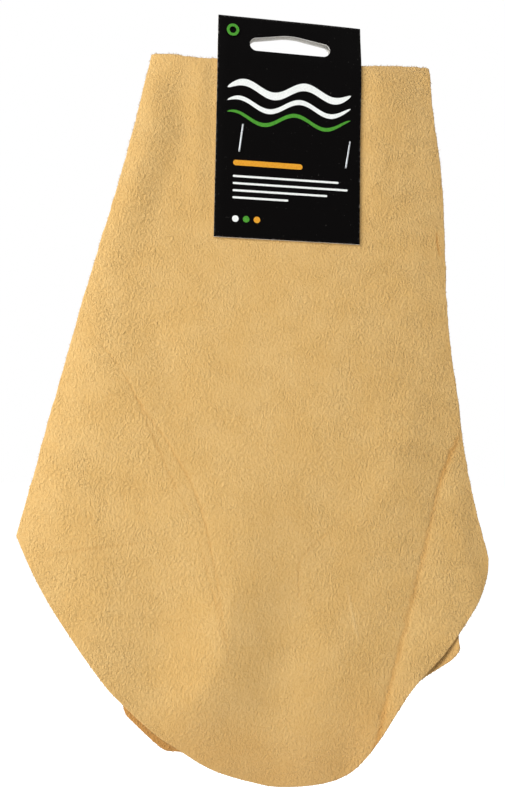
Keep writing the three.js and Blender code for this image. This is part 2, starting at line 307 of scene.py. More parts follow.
def front_relief(points, gaps, drop):
    """The rims roll back, and the left half swells to a belly with a ridge, which soft creases cross."""
    across, down = points[..., 0], -points[..., 1]
    left_roll = left_rim_fall * rim_roll(gaps["left"], rim_width, 3)
    right_roll = right_rim_fall * rim_roll(gaps["right"], rim_width, 2) * falling(down, *right_rim_end)
    lower_roll = lower_rim_fall * np.maximum((down - lower_rim_from) / lower_rim_width, 0) ** 2
    lower_roll = lower_roll * falling(across, *lower_rim_end)
    relief = pleat_relief(points, gaps["right"]) - (left_roll + right_roll) * rising(drop, 0, rim_full)
    relief = relief - lower_roll + beside_card_relief(points, gaps)
    beside = across - np.interp(down, -ridge_line[:, 1], ridge_line[:, 0])
    ridge = ridge_rise * np.where(beside < 0, hump(beside, ridge_left), np.exp(-beside / ridge_right))
    ridge = ridge * rising(down, *ridge_onset) * falling(down, *ridge_end)
    belly = belly_rise * hump(beside, np.where(beside < 0, belly_left, belly_right))
    belly = belly * rising(down, *belly_onset) * (1 - belly_loss * rising(down, *belly_end))
    relief = relief + ridge + belly
    for line, rise, width in soft_creases:
        distance, nearness, _ = from_line(points, np.array(line) * mm)
        relief = relief + rise * mm * hump(distance, width * mm) * np.sqrt(nearness)
    return relief


def back_relief(points, gaps, drop):
    """Two corners of the back leaf curl forwards, till they nearly touch the front leaf."""
    relief = np.zeros_like(drop)
    for line, rise, width in back_curls:
        relief = relief + rise * mm * hump(from_line(points, np.array(line) * mm)[0], width * mm)
    return relief


def card_bow(across, height):
    """How far the card is bent back, or forwards where it is below 0."""
    out = np.clip((across - bow_start) / (card_width / 2 - bow_start), 0, 1)
    forward = bow_forward * rising(height, *bow_forward_onset)
    back = bow_back * rising(height, *bow_back_onset)
    return (back - forward) * out ** 2


def ragged(line, seed):
    """A cut edge that wanders by a fraction of a millimetre."""
    shift = np.column_stack([ripple(line, cut_hump, seed), ripple(line, cut_hump, seed + second_seed)])
    fade = np.minimum(1, np.linalg.norm(line - line[0], axis=1) / cut_ragged_full)
    return line + cut_ragged * fade[:, None] * shift


def leaf_places(facing, edges, lean, relief, seed):
    """Rows of places on a leaf's middle, from the fold's crest down. facing is -1 in front and 1 behind."""
    left, right, lower = edges
    bend = layer_middle + skin_thickness / 2
    top_left, top_right = fold_left - [0, bend], fold_right - [0, bend]
    upper = np.linspace(top_left, top_right, across_steps + 1)
    left_line = ragged(smooth_line([top_left, *left, lower[0]], down_steps), seed)
    right_line = ragged(smooth_line([top_right, *right, lower[-1]], down_steps), seed + 1)
    lower_line = smooth_line(lower, across_steps)
    lower_line[0], lower_line[-1] = left_line[-1], right_line[-1]
    flat = spread_between(upper, lower_line, left_line, right_line)
    across, down = flat[..., 0], -flat[..., 1]
    gaps = {"left": across - across[:, :1], "right": across[:, -1:] - across, "upper": down - down[:1]}
    drop = np.maximum(hinge["front_leaf"].z + down, 0)
    soft_drop = np.where(drop < lean_start, drop ** 2 / (2 * lean_start), drop - lean_start / 2)
    valley = wave_valley - wave_drift * rising(down, *wave_drift_onset)
    wave = -wave_height * np.cos(2 * np.pi * (across - valley) / wave_length)
    wave = wave * (1 - wave_right_loss * rising(across, *wave_right_onset))
    wave = wave * (1 - wave_foot_loss * rising(down, *wave_foot_onset))
    row = np.arange(down_steps + 1)[:, None]
    loose = cockle_at_card + (1 - cockle_at_card) * rising(drop, 0, cockle_full)
    cockle = sum(rise * ripple(flat, length, seed + step) for rise, length, step in cockles)
    stand = layer_middle + lean * soft_drop + wave * rising(drop, *wave_onset)
    stand = stand + relief(flat, gaps, drop) + cockle * rising(row, 0, cockle_rows) * loose
    back_roll = left_wing_fall * rim_roll(gaps["left"], wing_width, 3)
    back_roll = back_roll + right_wing_fall * rim_roll(gaps["right"], wing_width, 2)
    back_roll = back_roll + card_bow(across, -down) * falling(across - card_width / 2, *bow_end)
    pinch = upper[:, 1] + bend - np.interp(upper[:, 0], crest_line[:, 0], crest_line[:, 1])
    pinch = pinch + crest_ragged * ripple(upper, crest_hump, crest_seed)
    place = np.empty((fold_steps + down_steps + 1, across_steps + 1, 3))
    place[fold_steps:, :, 0] = across
    place[fold_steps:, :, 1] = facing * stand + back_roll * falling(drop, 0, wing_end)
    place[fold_steps:, :, 2] = -down - pinch * falling(row, 0, pinch_rows)
    for step in range(fold_steps):
        turn = math.pi / 2 * step / fold_steps
        place[step, :, 0] = upper[:, 0]
        place[step, :, 1] = facing * layer_middle * math.sin(turn) + back_roll[0]
        place[step, :, 2] = upper[:, 1] - pinch + layer_middle * math.cos(turn)
    return place


@contextlib.contextmanager
def edit_mode():
    """Edit mode of the active object, for the lines inside."""
    bpy.ops.object.mode_set(mode="EDIT")
    yield
    bpy.ops.object.mode_set(mode="OBJECT")


def thicken(sheet, thickness, offset=0, other_material=0):
    """Gives the active sheet a thickness, about its middle or outwards, and its inside a material."""
    wall = sheet.modifiers.new("thickness", "SOLIDIFY")
    wall.thickness = thickness
    wall.offset = offset
    wall.material_offset = wall.material_offset_rim = other_material
    bpy.ops.object.modifier_apply(modifier=wall.name)


def skin_leaf(name, facing, place):
    """One leaf of the skin, as thick as the leather, about the places of its middle."""
    rows, columns = place.shape[0] - 1, place.shape[1] - 1
    bpy.ops.object.select_all(action="DESELECT")
    bpy.ops.mesh.primitive_grid_add(x_subdivisions=columns, y_subdivisions=rows, size=1)
    leaf = bpy.context.object
    leaf.name = leaf.data.name = name
    for vertex in leaf.data.vertices:
        column = round((vertex.co.x + 0.5) * columns)
        row = round((0.5 - vertex.co.y) * rows)
        vertex.co = place[row, column]
    if facing > 0:
        with edit_mode():
            bpy.ops.mesh.select_all(action="SELECT")
            bpy.ops.mesh.flip_normals()
    thicken(leaf, skin_thickness)
    return leaf


cut_rounding, cut_segments, cut_angle = 0.42 * mm, 3, math.radians(60)
leaf_smooth_angle = math.radians(40)
crest_depth = 2.5 * mm


def round_cut_edges(leaf):
    """Rounds the cut edges of a leaf, and leaves the crest of the fold, where the leaves meet, square."""
    with edit_mode():
        bpy.ops.mesh.select_all(action="DESELECT")
        bpy.ops.mesh.edges_select_sharp(sharpness=cut_angle)
    for edge in leaf.data.edges:
        middle = sum((leaf.data.vertices[i].co for i in edge.vertices), Vector()) / 2
        if middle.z > np.interp(middle.x, crest_line[:, 0], crest_line[:, 1]) - crest_depth:
            edge.select = False
    with edit_mode():
        bpy.ops.mesh.bevel(offset=cut_rounding, segments=cut_segments, affect="EDGES")
    bpy.ops.object.shade_smooth_by_angle(angle=leaf_smooth_angle)


def linear(hex_colour):
    """Linear colour of an sRGB hex value."""
    parts = [int(hex_colour[i:i + 2], 16) / 255 for i in (1, 3, 5)]
    return [p / 12.92 if p <= 0.04045 else ((p + 0.055) / 1.055) ** 2.4 for p in parts] + [1]


def set_sockets(node, sockets):
    """Sets sockets of a node to values, or links them to the outputs of other nodes."""
    for socket, value in sockets.items():
        if isinstance(value, bpy.types.NodeSocket):
            node.id_data.links.new(value, node.inputs[socket])
        else:
            node.inputs[socket].default_value = value


def add_node(near, kind, sockets, **settings):
    """Adds a node near another node or output, with its settings and sockets, and gives its outputs."""
    node = near.id_data.nodes.new("ShaderNode" + kind)
    for setting, value in settings.items():
        setattr(node, setting, value)
    set_sockets(node, sockets)
    return node.outputs


def grain(place, length, **sockets):
    """Random values, mostly from 0.3 to 0.7, with grains of a length."""
    return add_node(place, "TexNoise", {"Vector": place, "Scale": 1 / length, **sockets})["Fac"]


def stretch(value, low, high, to_low=0, to_high=1, **settings):
    """A value whose range from low to high is stretched to another range, and that stops at its ends."""
    sockets = {"Value": value, "From Min": low, "From Max": high, "To Min": to_low, "To Max": to_high}
    return add_node(value, "MapRange", sockets, **settings)["Result"]


def combine(operation, *values):
    """The result of a math operation on one or two values."""
    return add_node(values[0], "Math", dict(enumerate(values)), operation=operation)["Value"]


def mix(share, first, second):
    """A colour that turns from the first to the second as a share goes from 0 to 1."""
    first = linear(first) if isinstance(first, str) else first
    return add_node(share, "Mix", {0: share, 6: first, 7: linear(second)}, data_type="RGBA")[2]


def bump(height, strength, distance):
    """The normal of a surface with fine relief."""
    sockets = {"Height": height, "Strength": strength, "Distance": distance}
    return add_node(height, "Bump", sockets)["Normal"]


def new_material(name):
    """A material with its Principled shader, which keeps all that isn't set by a section."""
    material = bpy.data.materials.new(name)
    material.use_nodes = True
    return material, material.node_tree.nodes["Principled BSDF"]


# Buffed chamois: a dry nap of short fibres, brushed downwards. It gives fine upright ridges, a warm yellow
# buff with cloudy patches where the oil took differently, and a pale sheen at a slant. Painted shade makes
# it browner between the fibres, in creases and along the pleat; painted highlight makes it paler on a raised
# crease and beside the pleat.
chamois, shader = new_material("buffed_chamois")
place = add_node(shader, "TexCoord", {})["Object"]
axes = add_node(shader, "SeparateXYZ", {"Vector": place})
nap_width, nap_length, nap_rise = 0.62 * mm, 0.95 * mm, 1.15 * mm
nap_scale = (1 / nap_width, 1 / nap_width, 1 / nap_length)
nap_place = add_node(shader, "Mapping", {"Vector": place, "Scale": nap_scale})["Vector"]
nap = grain(nap_place, 1, Detail=1.5, Roughness=0.5, Distortion=0.7)
pebble = grain(place, 1.05 * mm, Detail=1.5, Roughness=0.5)
tuft = stretch(grain(place, 1.9 * mm, Detail=1), 0.68, 0.78, 0, 0.35)
height = combine("ADD", combine("ADD", nap, pebble), tuft)

# Fine creases, which wander a little about their lines and lower the nap.
wander_reach, crease_wander_share = 0.6 * mm, 0.5
crease_width, crease_fall = 1 * mm, 0.3
wander = stretch(grain(place, 2.6 * mm, Detail=2), 0.3, 0.7, -wander_reach, wander_reach)
crease_wander = combine("MULTIPLY", wander, crease_wander_share)
crease_depths = []
for crease_set in fine_creases:
    crease_place = add_node(shader, "Attribute", {}, attribute_name=crease_set)["Vector"]
    crease_axes = add_node(shader, "SeparateXYZ", {"Vector": crease_place})
    off_crease = combine("ABSOLUTE", combine("ADD", crease_axes["X"], crease_wander))
    on_crease = stretch(off_crease, 0, crease_width, 1, 0, interpolation_type="SMOOTHSTEP")
    crease_depths.append(combine("MULTIPLY", on_crease, crease_axes["Y"]))
crease_depth = combine("ADD", *crease_depths)
height = combine("SUBTRACT", height, combine("MULTIPLY", crease_depth, crease_fall))

# The nap stands higher in patches and towards both sides, where it was handled less.
patch = stretch(grain(place, 9 * mm, Detail=2, Roughness=0.6), 0.36, 0.64, 0.65, 1)
middle_nap = 0.48
left_nap = stretch(axes["X"], -15 * mm, -75 * mm, middle_nap, 0.68)
right_nap = stretch(axes["X"], 0, 55 * mm, middle_nap, 0.82)
nap_strength = combine("MULTIPLY", patch, combine("MAXIMUM", left_nap, right_nap))

# Colour: cloudy buff, with painted shade, browner, between the fibres and at marked places.
cloud = grain(place, 17 * mm, Detail=3, Roughness=0.6)
colour = mix(stretch(cloud, 0.35, 0.65), "#d5ae6e", "#d9b476")
# Painted shade: browner where the nap is low, in the hollows between its fibres.
colour = mix(stretch(nap, 0.3, 0.7, 0.3, 0), colour, "#c08c44")
# Painted shade: browner at the marked places of each leaf.
colour = mix(add_node(shader, "Attribute", {}, attribute_name="painted_shade")["Fac"], colour, "#bd8442")

# The pleat's line is painted brown, as shade in its valley, and the skin on its right gets a painted
# highlight, warmer and lighter, where it faces the light.
pleat_place = add_node(shader, "Attribute", {}, attribute_name="pleat_side")["Fac"]
pleat_painted_light = add_node(shader, "Attribute", {}, attribute_name="pleat_painted_light")["Fac"]
on_right = stretch(pleat_place, -0.5 * mm, 0.3 * mm)
pleat_highlight = combine("MULTIPLY", stretch(pleat_place, 0.3 * mm, 3.6 * mm, 0.28, 0), on_right)
colour = mix(combine("MULTIPLY", pleat_highlight, pleat_painted_light), colour, "#e0a95c")
# Painted shade: a thin brown line along the pleat's valley and along the slit.
off_line = combine("ABSOLUTE", combine("ADD", pleat_place, wander))
on_line = stretch(off_line, 0.2 * mm, 1.5 * mm, 0.6, 0)
colour = mix(combine("MULTIPLY", on_line, pleat_painted_light), colour, "#b98442")
# Painted shade, browner, along the fine creases, and painted highlight, paler, on the one that stands up.
colour = mix(stretch(crease_depth, 0, 1, 0, 0.4), colour, "#b98442")
colour = mix(stretch(crease_depth, 0, -1, 0, 0.2), colour, "#e8cc98")
set_sockets(shader, {
    "Base Color": colour, "Normal": bump(height, nap_strength, nap_rise), "Roughness": 0.92,
    "Specular IOR Level": 0.12, "Sheen Weight": 0.22, "Sheen Roughness": 0.45,
    "Sheen Tint": linear("#fff0d2"),
})

# How strongly the pleat's line is painted as shade and its right side as highlight: more at its ends, which
# lie by lengths down from the slot's peak. The small slit by the right edge is painted as a shade line too.
pleat_paint, pleat_paint_onset = 0.6, (168 * mm, 178 * mm)
pleat_upper_end, pleat_lower_end = (183 * mm, 205 * mm), (283 * mm, 298 * mm)
slit_line = np.array([[66.7, -82.8], [67.1, -87.7], [68.3, -94.4]]) * mm
slit_sharpness, slit_paint = 2.2, 1.6
crease_fade = (2 * mm, 4 * mm)


def seen_points(leaf):
    """The points of a leaf as they lie across and up."""
    return np.array([(v.co.x, v.co.z) for v in leaf.data.vertices])


def write_values(leaf, name, values):
    """Writes a value for each point of a leaf, for its material."""
    leaf.data.attributes.new(name, "FLOAT", "POINT").data.foreach_set("value", values.astype(np.float32))


def mark_pleat(leaf):
    """Writes each point's place by the pleat or the slit, and the strength of painted light and shade there.
    """
    points = seen_points(leaf)
    down = -points[:, 1]
    beside = np.copysign(from_line(points, pleat_line)[0], pleat_side(points))
    at_ends = np.maximum(falling(down, *pleat_upper_end), rising(down, *pleat_lower_end))
    painted_strength = (pleat_paint + (1 - pleat_paint) * at_ends) * rising(down, *pleat_paint_onset)
    slit_gap, slit_middle, _ = from_line(points, slit_line)
    slit_side = points[:, 0] - np.interp(down, -slit_line[:, 1], slit_line[:, 0])
    by_slit = slit_gap < np.abs(beside)
    beside = np.where(by_slit, np.copysign(slit_gap, slit_side) * slit_sharpness, beside)
    write_values(leaf, "pleat_side", beside)
    write_values(leaf, "pleat_painted_light", np.where(by_slit, slit_paint * np.sqrt(slit_middle), painted_strength))


def mark_creases(leaf):
    """Writes each point's place beside the nearest fine crease of each set, and how deep that crease is."""
    points = seen_points(leaf)
    for name, creases in fine_creases.items():
        nearest = np.full(len(points), np.inf)
        place = np.zeros((len(points), 3))
        for line, depth in creases:
            distance, nearness, side = from_line(points, line)
            fade = np.sqrt(nearness) * falling(distance, *crease_fade)
            nearer = distance < nearest
            place[nearer] = np.column_stack([distance * side, depth * fade, 0 * distance])[nearer]
            nearest = np.minimum(nearest, distance)
        attribute = leaf.data.attributes.new(name, "FLOAT_VECTOR", "POINT")
        attribute.data.foreach_set("vector", place.astype(np.float32).ravel())


def mark_painted_shade(leaf, shade_lines):
    """Writes how much painted shade each point gets, by lines and widths in millimetres and strengths up to
    1.
    """
    points = seen_points(leaf)
    amount = np.zeros(len(points))
    for line, width, strength in shade_lines:
        distance = from_line(points, np.array(line) * mm)[0]
        amount = np.maximum(amount, strength * hump(distance, width * mm))
    write_values(leaf, "painted_shade", amount)


front_edges = (left_edge, right_edge, np.array([left_corner, *front_lower_edge, right_bulge]))
front_place = leaf_places(-1, front_edges, front_lean, front_relief, seed=1.5)
front = skin_leaf("chamois_front", -1, front_place)
round_cut_edges(front)
mark_pleat(front)
mark_creases(front)
# Painted shade: browner along the foot of the front leaf.
mark_painted_shade(front, [([[-30, -303], [0, -314], [26, -311], [38, -298]], 22, 0.2)])
front.data.materials.append(chamois)
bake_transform(front)
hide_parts("leather_top", "front_leaf")

back_edges = (back_left_edge, back_right_edge, back_lower_edge)
back_place = leaf_places(1, back_edges, back_lean, back_relief, seed=11.5)
back = skin_leaf("chamois_back", 1, back_place)
round_cut_edges(back)
# Painted shade: browner on the back leaf's lower left strip and lower right corner, in the front leaf's
# shadow.
mark_painted_shade(back, [([[-66, -281], [-45, -302]], 9, 0.75), ([[60, -275], [75, -262]], 9, 0.2)])
back.data.materials.append(chamois)
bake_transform(back)
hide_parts("leather_top", "back_leaf")

# Loose fibres
# Ends of the skin's own fibres, teased out by the buffing: dense along the crest of the fold, where the nap
# stands open, and sparse along the cut edges. They are small clumps, because one fibre is too fine to show.
fibre_spacing = {"crest": 0.34 * mm, "edge": 0.6 * mm}
fibre_length = {"crest": (0.5 * mm, 1.1 * mm), "edge": (0.4 * mm, 1 * mm)}
fibre_root, fibre_spread, fibre_curl, fibre_layer = 0.2 * mm, 0.35, 0.45, 0.35 * mm
clump_sides, clump_width, clump_tip = 4, 0.12 * mm, 0.15
card_clearance = 0.5 * mm
inward_steps, inward_depth = 3, 1 * mm


def select_only(thing):
    """Selects one object, and no other, as the active one."""
    bpy.ops.object.select_all(action="DESELECT")
    thing.select_set(True)
    bpy.context.view_layer.objects.active = thing


def turn_faces_out():
    """Turns the faces of the active object, which is a closed mesh, outwards."""
    with edit_mode():
        bpy.ops.mesh.select_all(action="SELECT")
        bpy.ops.mesh.normals_make_consistent(inside=False)


bpy.ops.object.select_all(action="DESELECT")
bpy.ops.mesh.primitive_cone_add(
    vertices=clump_sides, radius1=1, radius2=clump_tip, depth=1, location=(0, 0, 0.5),
)
pattern = bpy.context.object
bpy.ops.object.transform_apply()
with edit_mode():
    bpy.ops.mesh.subdivide(number_cuts=1)
clump_points = np.array([v.co[:] for v in pattern.data.vertices])
clump_faces = [list(face.vertices) for face in pattern.data.polygons]
bpy.data.objects.remove(pattern)

# Teased fibre: dry, matt and browner than the face, because it shades itself.
teased, shader = new_material("teased_fibre")
set_sockets(shader, {"Base Color": linear("#b4925a"), "Roughness": 1, "Specular IOR Level": 0.05})


def clumps_along(kind, edge, inside, draw):
    """Curved clumps at random places along an edge, each pointing away from the line that lies inside it."""
    run = np.concatenate([[0], np.cumsum(np.linalg.norm(np.diff(edge, axis=0), axis=1))])
    clumps = []
    for at in draw.uniform(0, run[-1], int(run[-1] / fibre_spacing[kind])):
        foot = np.array([np.interp(at, run, edge[:, k]) for k in range(3)])
        way = foot - np.array([np.interp(at, run, inside[:, k]) for k in range(3)])
        way = way / np.linalg.norm(way) + draw.normal(0, fibre_spread, 3)
        way = way / np.linalg.norm(way)
        bend = np.cross(way, draw.normal(0, 1, 3))
        across = np.cross(way, bend)
        bend, across = bend / np.linalg.norm(bend), across / np.linalg.norm(across)
        length = draw.uniform(*fibre_length[kind])
        x, y, z = clump_points.T[..., None]
        clump = clump_width * (x * across + y * bend) + length * (z * way + z ** 2 * fibre_curl * bend)
        foot = foot - fibre_root * way + [0, draw.uniform(-1, 1) * fibre_layer, 0]
        clumps.append(foot + clump)
    return clumps


def loose_fibres(name, place, seed):
    """All the loose fibres of one leaf, along its crest and cut edges."""
    draw = np.random.default_rng(seed)
    crest = place[0] + [0, 0, skin_thickness / 2]
    outside_card = np.abs(crest[:, 0]) > card_width / 2 + card_clearance
    sheet, inner = place[fold_steps:], inward_steps
    clumps = []
    for half in (crest[:, 0] < 0, crest[:, 0] > 0):
        line = crest[half & outside_card]
        clumps += clumps_along("crest", line, line - [0, 0, inward_depth], draw)
    clumps += clumps_along("edge", sheet[:, 0], sheet[:, inner], draw)
    clumps += clumps_along("edge", sheet[:, -1], sheet[:, -1 - inner], draw)
    clumps += clumps_along("edge", sheet[-1], sheet[-1 - inner], draw)
    size = len(clump_points)
    mesh = bpy.data.meshes.new(name)
    faces = [[i + k * size for i in face] for k in range(len(clumps)) for face in clump_faces]
    mesh.from_pydata(np.vstack(clumps).tolist(), [], faces)
    fibres = bpy.data.objects.new(name, mesh)
    bpy.context.scene.collection.objects.link(fibres)
    select_only(fibres)
    turn_faces_out()
    bpy.ops.object.shade_smooth()
    mesh.materials.append(teased)
    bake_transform(fibres)
    return fibres


front_fibres = loose_fibres("front_fibres", front_place, seed=21)
back_fibres = loose_fibres("back_fibres", back_place, seed=22)

# Header card
# One strip of folding boxboard, printed black and varnished outside, plain grey inside. It is creased over
# the skin's fold, so that one panel lies in front and one behind, and the hang slot is punched through both.
card_face = card_low.y
board = 0.5 * mm
panel_middle = card_high.y - board / 2
crease_height = card_high.z - card_high.y
panel_height = crease_height - card_low.z
panel_columns, panel_steps, crease_steps = 14, 22, 12
panel_step = panel_height / panel_steps
slot_width, slot_height = 35.4 * mm, 6.1 * mm
slot_peak_rise, slot_peak_width = 2.1 * mm, 4.8 * mm
slot_end_radius, slot_end_steps = 0.499 * slot_height, 10
punch_reach, punch_cuts = 8 * mm, 12
crease_pinch, crease_pinch_from, crease_lift = 0.85 * mm, -12 * mm, 0.5 * mm
cut_bevel, card_smooth_angle = 0.06 * mm, math.radians(35)
same_place = 0.01 * mm
face_turn = (math.pi / 2, 0, 0)

bpy.ops.object.select_all(action="DESELECT")
bpy.ops.mesh.primitive_grid_add(
    x_subdivisions=panel_columns, y_subdivisions=panel_steps, size=1,
    location=(0, -panel_middle, card_low.z + panel_height / 2), rotation=face_turn,
)
card = bpy.context.object
card.name = card.data.name = "card_board"
card.scale = (card_width, panel_height, 1)
bpy.ops.object.transform_apply()
with edit_mode():
    bpy.ops.mesh.select_mode(type="EDGE")
    bpy.ops.mesh.select_all(action="DESELECT")
for edge in card.data.edges:
    edge.select = all(card.data.vertices[i].co.z > crease_height - same_place for i in edge.vertices)
with edit_mode():
    bpy.ops.mesh.spin(steps=crease_steps, angle=math.pi, center=(0, 0, crease_height), axis=(1, 0, 0))
    for step in range(panel_steps):
        bpy.ops.mesh.extrude_region_move(TRANSFORM_OT_translate={"value": (0, 0, -panel_step)})
    bpy.ops.mesh.select_all(action="SELECT")
    bpy.ops.mesh.remove_doubles(threshold=same_place)
    bpy.ops.mesh.normals_make_consistent(inside=False)
if card.data.polygons[0].normal.y > 0:
    with edit_mode():
        bpy.ops.mesh.flip_normals()

for vertex in card.data.vertices:
    pinched = rising(vertex.co.z, crease_pinch_from, crease_height)
    vertex.co.y *= 1 - crease_pinch * pinched / panel_middle
    vertex.co.z += crease_lift * pinched

# Black varnished face of the board: nearly no gloss, a few pale specks of dust, bare fibres at its edges.
black_face, shader = new_material("black_varnished_board")
place = add_node(shader, "TexCoord", {})["Object"]
side_rub, crease_rub, foot_rub = 0.7 * mm, 0.9 * mm, 0.6 * mm
axes = add_node(shader, "SeparateXYZ", {"Vector": place})
across = combine("ABSOLUTE", axes["X"])
at_side = stretch(across, card_width / 2 - side_rub, card_width / 2)
at_crease = stretch(axes["Z"], card_high.z - crease_rub, card_high.z)
at_foot = stretch(axes["Z"], card_low.z + foot_rub, card_low.z)
at_edge = combine("MAXIMUM", combine("MAXIMUM", at_side, at_crease), at_foot)
amount = stretch(grain(place, 1.1 * mm, Detail=3), 0.52, 0.72, 0, 0.55)
dust = stretch(grain(place, 0.8 * mm, Detail=1), 0.76, 0.86, 0, 0.25)
bare = combine("MAXIMUM", combine("MULTIPLY", at_edge, amount), dust)
gloss = stretch(grain(place, 6 * mm, Detail=4), 0.3, 0.7, 0.38, 0.5)
pulp = grain(place, 0.5 * mm, Detail=2)
set_sockets(shader, {
    "Base Color": mix(bare, "#080707", "#8d8984"), "Roughness": gloss,
    "Normal": bump(pulp, 0.3, 0.02 * mm), "Specular IOR Level": 0.018,
})

# Bare grey side of the board, inside and at the cuts: dry recycled pulp, with darker and lighter fibres.
grey_side, shader = new_material("bare_grey_board")
place = add_node(shader, "TexCoord", {})["Object"]
pulp = grain(place, 0.6 * mm, Detail=4, Roughness=0.6)
set_sockets(shader, {
    "Base Color": mix(stretch(pulp, 0.3, 0.7), "#d3d0ca", "#e6e4df"),
    "Normal": bump(pulp, 0.5, 0.05 * mm), "Roughness": 0.95, "Specular IOR Level": 0.15,
})

card.data.materials.append(black_face)
card.data.materials.append(grey_side)
thicken(card, board, other_material=1)

bpy.ops.object.select_all(action="DESELECT")
bpy.ops.mesh.primitive_plane_add(
    size=1, location=(0, -punch_reach, -slot_peak_rise - slot_height / 2), rotation=face_turn,
)
punch = bpy.context.object
punch.scale = (slot_width, slot_height, 1)
bpy.ops.object.transform_apply()
with edit_mode():
    bpy.ops.mesh.bevel(offset=slot_end_radius, segments=slot_end_steps, affect="VERTICES")
    bpy.ops.mesh.select_all(action="DESELECT")
for edge in punch.data.edges:
    ends = [punch.data.vertices[i].co for i in edge.vertices]
    on_top = all(abs(p.z + slot_peak_rise) < same_place for p in ends)
    edge.select = on_top and (ends[0] - ends[1]).length > slot_height
with edit_mode():
    bpy.ops.mesh.subdivide(number_cuts=punch_cuts)
slope_length = slot_width / 2 - slot_height / 2 - slot_peak_width / 2
for vertex in punch.data.vertices:
    if abs(vertex.co.z + slot_peak_rise) < same_place:
        beyond_peak = max(abs(vertex.co.x) - slot_peak_width / 2, 0)
        vertex.co.z += slot_peak_rise * max(1 - beyond_peak / slope_length, 0)
with edit_mode():
    bpy.ops.mesh.select_all(action="SELECT")
    bpy.ops.mesh.extrude_region_move(TRANSFORM_OT_translate={"value": (0, 2 * punch_reach, 0)})
turn_faces_out()
punch.data.materials.append(black_face)
punch.data.materials.append(grey_side)
for face in punch.data.polygons:
    face.material_index = 1

select_only(card)
slot_cut = card.modifiers.new("slot", "BOOLEAN")
slot_cut.operation = "DIFFERENCE"
slot_cut.solver = "EXACT"
slot_cut.object = punch
bpy.ops.object.modifier_apply(modifier=slot_cut.name)
bpy.data.objects.remove(punch)
edges = card.modifiers.new("cut edges", "BEVEL")
edges.width = cut_bevel
edges.segments = 2
edges.limit_method = "ANGLE"
edges.angle_limit = cut_angle
bpy.ops.object.modifier_apply(modifier=edges.name)
for vertex in card.data.vertices:
    vertex.co.y += card_bow(vertex.co.x, vertex.co.z)
bpy.ops.object.shade_smooth_by_angle(angle=card_smooth_angle)
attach(card, "carded_top")
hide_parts("header_card")

# Print on the card
# Flat offset ink on the front panel, a few hundredths of a millimetre thick: soft waves, rules, dots and a
# ring, in white, green and orange.
ink_thickness = 0.03 * mm
ink_wave_width, ink_wave_swing, ink_wave_length = 54 * mm, 2.6 * mm, 27 * mm
ink_wave_steps, ink_taper_power, ink_least_taper = 110, 5, 0.004
rule_height, rule_rounding, rule_end_steps = 0.9 * mm, 0.49, 5
rule_rows = np.array([-64.5, -67.6, -70.7, -73.8]) * mm
dot_radius, dot_row, dot_sides = 1.4 * mm, -83 * mm, 40
margin = -24 * mm


def ink_rule(middle, width, height):
    """A printed rule with round ends, from the margin, by the height of its middle line."""
    bpy.ops.object.select_all(action="DESELECT")
    bpy.ops.mesh.primitive_plane_add(
        size=1, location=(margin + width / 2, card_face, middle), rotation=face_turn,
    )
    rule = bpy.context.object
    rule.scale = (width, height, 1)
    bpy.ops.object.transform_apply()
    with edit_mode():
        bpy.ops.mesh.bevel(offset=height * rule_rounding, segments=rule_end_steps, affect="VERTICES")
    return rule


def ink_dot(across, middle, radius, hole=0):
    """A printed dot, or a ring where it has a hole."""
    bpy.ops.object.select_all(action="DESELECT")
    bpy.ops.mesh.primitive_circle_add(
        vertices=dot_sides, radius=radius, fill_type="NGON", location=(across, card_face, middle),
        rotation=face_turn,
    )
    dot = bpy.context.object
    bpy.ops.object.transform_apply()
    if hole:
        with edit_mode():
            bpy.ops.mesh.select_mode(type="FACE")
            bpy.ops.mesh.inset(thickness=radius - hole)
            bpy.ops.mesh.delete(type="FACE")
    return dot


def ink_wave(middle, height, start):
    """A printed wave that tapers to both ends. start shifts it, as a share of its length."""
    bpy.ops.object.select_all(action="DESELECT")
    bpy.ops.mesh.primitive_grid_add(x_subdivisions=ink_wave_steps, y_subdivisions=2, size=1)
    wave = bpy.context.object
    wave.rotation_euler = face_turn
    bpy.ops.object.transform_apply()
    for vertex in wave.data.vertices:
        along, up = vertex.co.x, vertex.co.z
        taper = math.sqrt(max(1 - abs(2 * along) ** ink_taper_power, ink_least_taper))
        crest = math.sin(2 * math.pi * (along * ink_wave_width / ink_wave_length + start))
        vertex.co = along * ink_wave_width, card_face, middle + ink_wave_swing * crest + up * height * taper
    return wave


def lay_ink(name, shapes, ink):
    """Joins printed shapes of one colour into one thin layer on the card."""
    bpy.ops.object.select_all(action="DESELECT")
    for shape in shapes:
        shape.select_set(True)
    bpy.context.view_layer.objects.active = shapes[0]
    bpy.ops.object.join()
    layer = bpy.context.object
    layer.name = layer.data.name = name
    thicken(layer, ink_thickness, offset=1)
    for vertex in layer.data.vertices:
        vertex.co.y += card_bow(vertex.co.x, vertex.co.z)
    layer.data.materials.append(ink)
    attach(layer, "carded_top")


def offset_ink(name, solid, thin):
    """Printing ink: matt and even, a shade thinner where the pulp under it drank more."""
    ink, shader = new_material(name)
    place = add_node(shader, "TexCoord", {})["Object"]
    pulp = grain(place, 0.45 * mm, Detail=3, Roughness=0.6)
    colour = mix(stretch(pulp, 0.35, 0.65), thin, solid)
    set_sockets(shader, {"Base Color": colour, "Roughness": 0.55, "Specular IOR Level": 0.1})
    return ink


